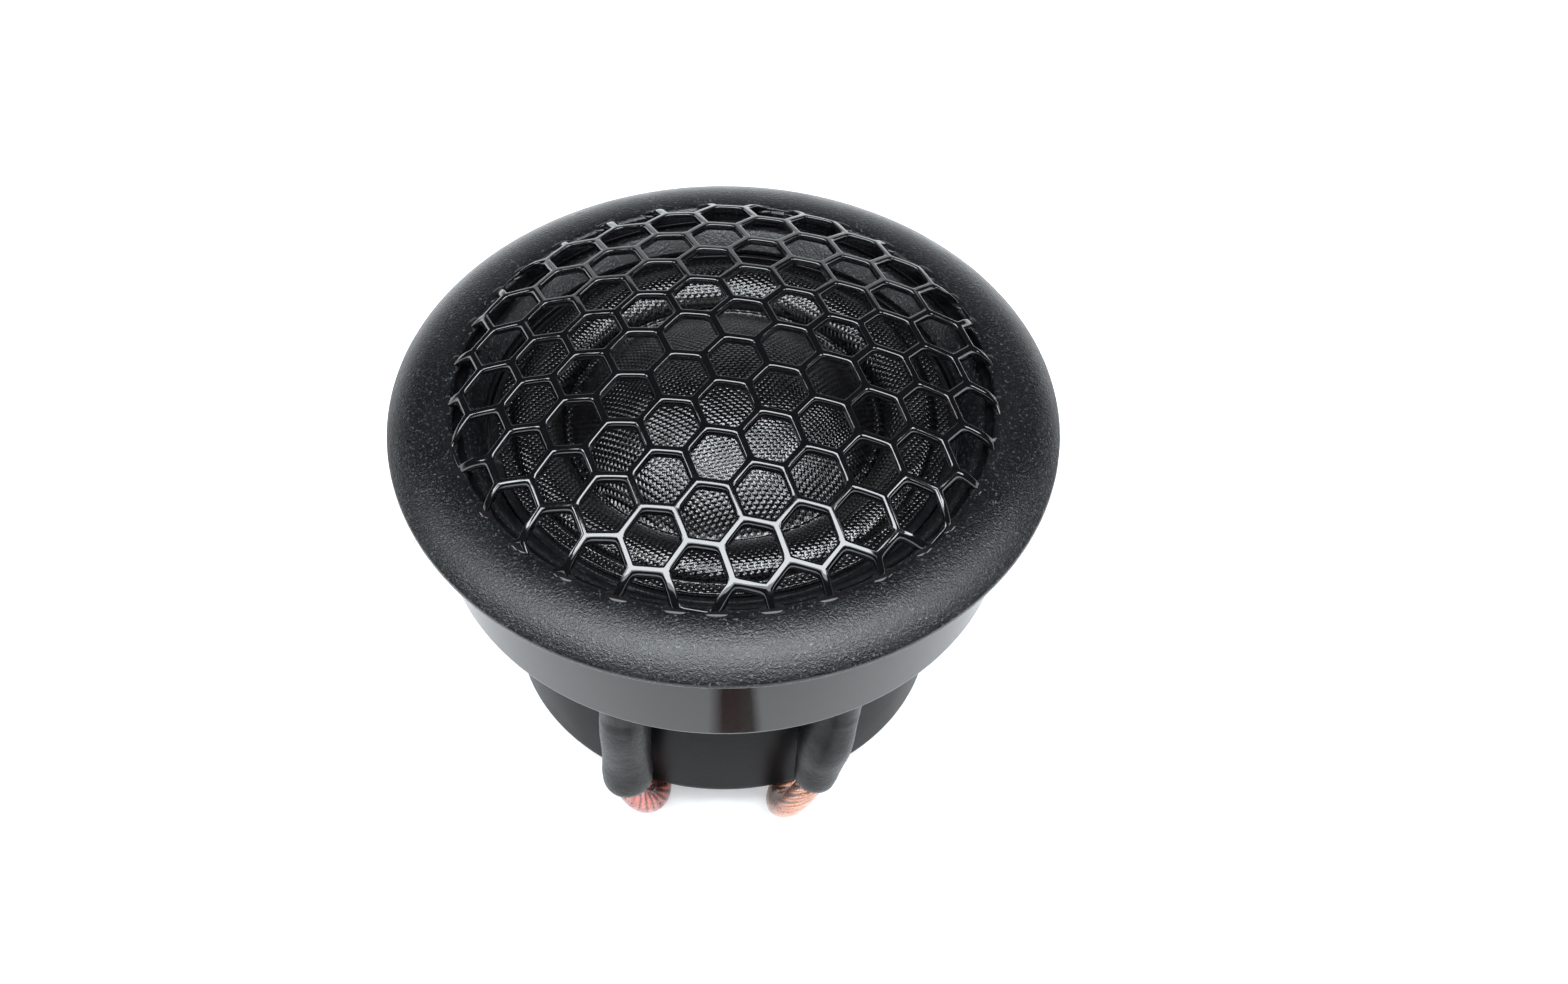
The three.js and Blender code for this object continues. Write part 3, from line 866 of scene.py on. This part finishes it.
def placed(verts, lean, angle, height):
    """Points made about a lug's own bend, turned to lean, and set at the lug's place."""
    spin = Matrix.Rotation(math.radians(angle), 3, "Z")
    tip = Matrix.Rotation(math.radians(-lean), 3, "X")
    out = []
    for v in verts:
        local = tip @ Vector(v) + Vector((LUG_RADIUS, 0, height))
        out.append(tuple((spin @ local + Vector((0, 0, RIM))) * MM))
    return out


def sleeve_radius(share, pinch):
    """Snug at the top, swollen over the joint, gripping the lead at its end."""
    mouth = min(1.0, share / 0.03) ** 0.5
    swell = (1 + 1.5 * pinch) * math.exp(-((share - 0.34 - 0.5 * pinch) / 0.22) ** 2)
    radius = 2.02 + 0.17 * swell * mouth + 0.1 * math.exp(-((share - 0.9) / 0.1) ** 2)
    radius -= pinch * max(0.0, (share - 0.62) / 0.38) ** 1.3
    if share > 0.97:
        radius -= 0.12 * ((share - 0.97) / 0.03) ** 2
    return radius


def add_sleeve(word):
    side = SIDES[word]
    length = (SLEEVE_TOP - side["end"]) / math.cos(math.radians(side["lean"]))
    stations = 34
    sides_round = 28
    bumps = rng.uniform(-1, 1, (4, 3))
    verts, faces = [], []
    for i in range(stations):
        share = i / (stations - 1)
        radius = sleeve_radius(share, side["pinch"])
        narrow = 0.96 if share < 0.2 else 1
        for k in range(sides_round):
            turn = 2 * math.pi * k / sides_round
            lump = sum(0.035 * b[0] * math.sin(2 * turn * (1 + n % 2) + 3 * b[1])
                       * math.sin(math.pi * share * (1 + n) + b[2])
                       for n, b in enumerate(bumps))
            flat = 1 + 0.09 * math.cos(2 * turn) * (1 - share) ** 2
            r = radius * flat + lump
            verts.append((r * math.cos(turn) * narrow, r * math.sin(turn), -share * length))
    inner = [(1.5, -length), (1.42, -0.86 * length), (1.6, -0.7 * length), (1.6, 0)]
    for radius, z in inner:
        for k in range(sides_round):
            turn = 2 * math.pi * k / sides_round
            verts.append((radius * math.cos(turn), radius * math.sin(turn), z))
    total = stations + len(inner)
    for i in range(total):
        j = (i + 1) % total
        for k in range(sides_round):
            m = (k + 1) % sides_round
            faces.append((i * sides_round + k, i * sides_round + m,
                          j * sides_round + m, j * sides_round + k))
    verts = placed(verts, side["lean"], side["angle"], SLEEVE_TOP)
    piece = add_mesh(f"shrunk_sleeve_{word}", verts, faces, looks["heat_shrink"])
    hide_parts(f"heat_shrink_{word}")


for word in SIDES:
    add_sleeve(word)


# ---- stage and light ----
def add_stage():
    half, low = 6.0, -0.0001
    mesh = bpy.data.meshes.new("floor")
    mesh.from_pydata([(-half, -half, low), (half, -half, low), (half, half, low),
                      (-half, half, low)], [], [(0, 1, 2, 3)])
    n = Nodes("pale_floor")
    cloud = n.noise(0.004, 2.0)
    n.shader(Base_Color=n.mix(cloud, (0.78, 0.78, 0.78), (0.82, 0.82, 0.82)), Roughness=0.75,
             Specular_IOR_Level=0.2, Emission_Color=(0.95, 0.98, 1.0), Emission_Strength=0.4)
    mesh.materials.append(n.material)
    piece = bpy.data.objects.new("floor", mesh)
    bpy.context.scene.collection.objects.link(piece)


def area_light(name, place, size, power):
    """A cool white panel in metres and watts, turned to the tweeter's face."""
    data = bpy.data.lights.new(name, "AREA")
    data.shape = "RECTANGLE"
    data.size, data.size_y = size
    data.energy = power
    data.color = (0.93, 0.97, 1.0)
    lamp = bpy.data.objects.new(name, data)
    lamp.location = place
    lamp.rotation_euler = (Vector(place) - Vector((0, 0, 0.03))).to_track_quat("Z", "Y").to_euler()
    bpy.context.scene.collection.objects.link(lamp)


def add_lights():
    scene = bpy.context.scene
    world = bpy.data.worlds.new("studio")
    world.use_nodes = True
    sky = world.node_tree.nodes["Background"]
    sky.inputs[0].default_value = (0.93, 0.96, 1.0, 1)
    sky.inputs[1].default_value = 0.045
    scene.world = world
    area_light("overhead", (0.0, -0.17, 0.6), (0.85, 0.27), 9.5)
    area_light("front_fill", (0.0, -0.4, 0.56), (0.9, 0.2), 2.4)
    area_light("left_panel", (-0.6, -0.02, 0.5), (0.26, 0.18), 2.0)
    area_light("right_panel", (0.6, -0.02, 0.5), (0.26, 0.18), 2.0)
    area_light("back_panel", (0.0, 0.9, 0.22), (0.9, 0.4), 1.2)
    scene.view_settings.view_transform = "Standard"
    scene.view_settings.look = "None"
    scene.view_settings.exposure = 0.0


def add_flag():
    """A dark brown card on the floor that only reflections see: the dark stripe in the collar."""
    mesh = bpy.data.meshes.new("flag")
    middle, near, spread, front, back = 2.0, 4.6, 0.031, -33.0, -85.0
    far = near + spread * (front - back)
    lift = 0.4
    corners = [(middle - near, front), (middle + near, front),
               (middle + far, back), (middle - far, back)]
    mesh.from_pydata([(x * MM, y * MM, lift * MM) for x, y in corners], [], [(0, 1, 2, 3)])
    n = Nodes("flag_card")
    x, y, _ = n.split(n.place())
    half = n.math("MULTIPLY_ADD", n.math("SUBTRACT", front * MM, y), spread, near * MM)
    across = n.math("DIVIDE", n.math("SUBTRACT", x, middle * MM), half)
    cover = n.math("MULTIPLY", n.ramp(across, -1.0, -0.45), n.ramp(across, 1.0, 0.62))
    tone = n.mix(n.ramp(across, 0.1, 0.3), (0.1, 0.035, 0.03), (0.13, 0.09, 0.075))
    tone = n.mix(n.ramp(n.noise(0.4, 2.0), 0.35, 0.7, 0.0, 0.4), tone, (0.17, 0.1, 0.085))
    n.shader(Base_Color=tone, Roughness=0.9, Specular_IOR_Level=0.0,
             Alpha=n.math("MULTIPLY", cover, 0.95))
    mesh.materials.append(n.material)
    piece = bpy.data.objects.new("flag", mesh)
    piece.visible_camera = False
    piece.visible_diffuse = False
    piece.visible_shadow = False
    piece.visible_transmission = False
    bpy.context.scene.collection.objects.link(piece)


add_stage()
add_flag()
add_lights()
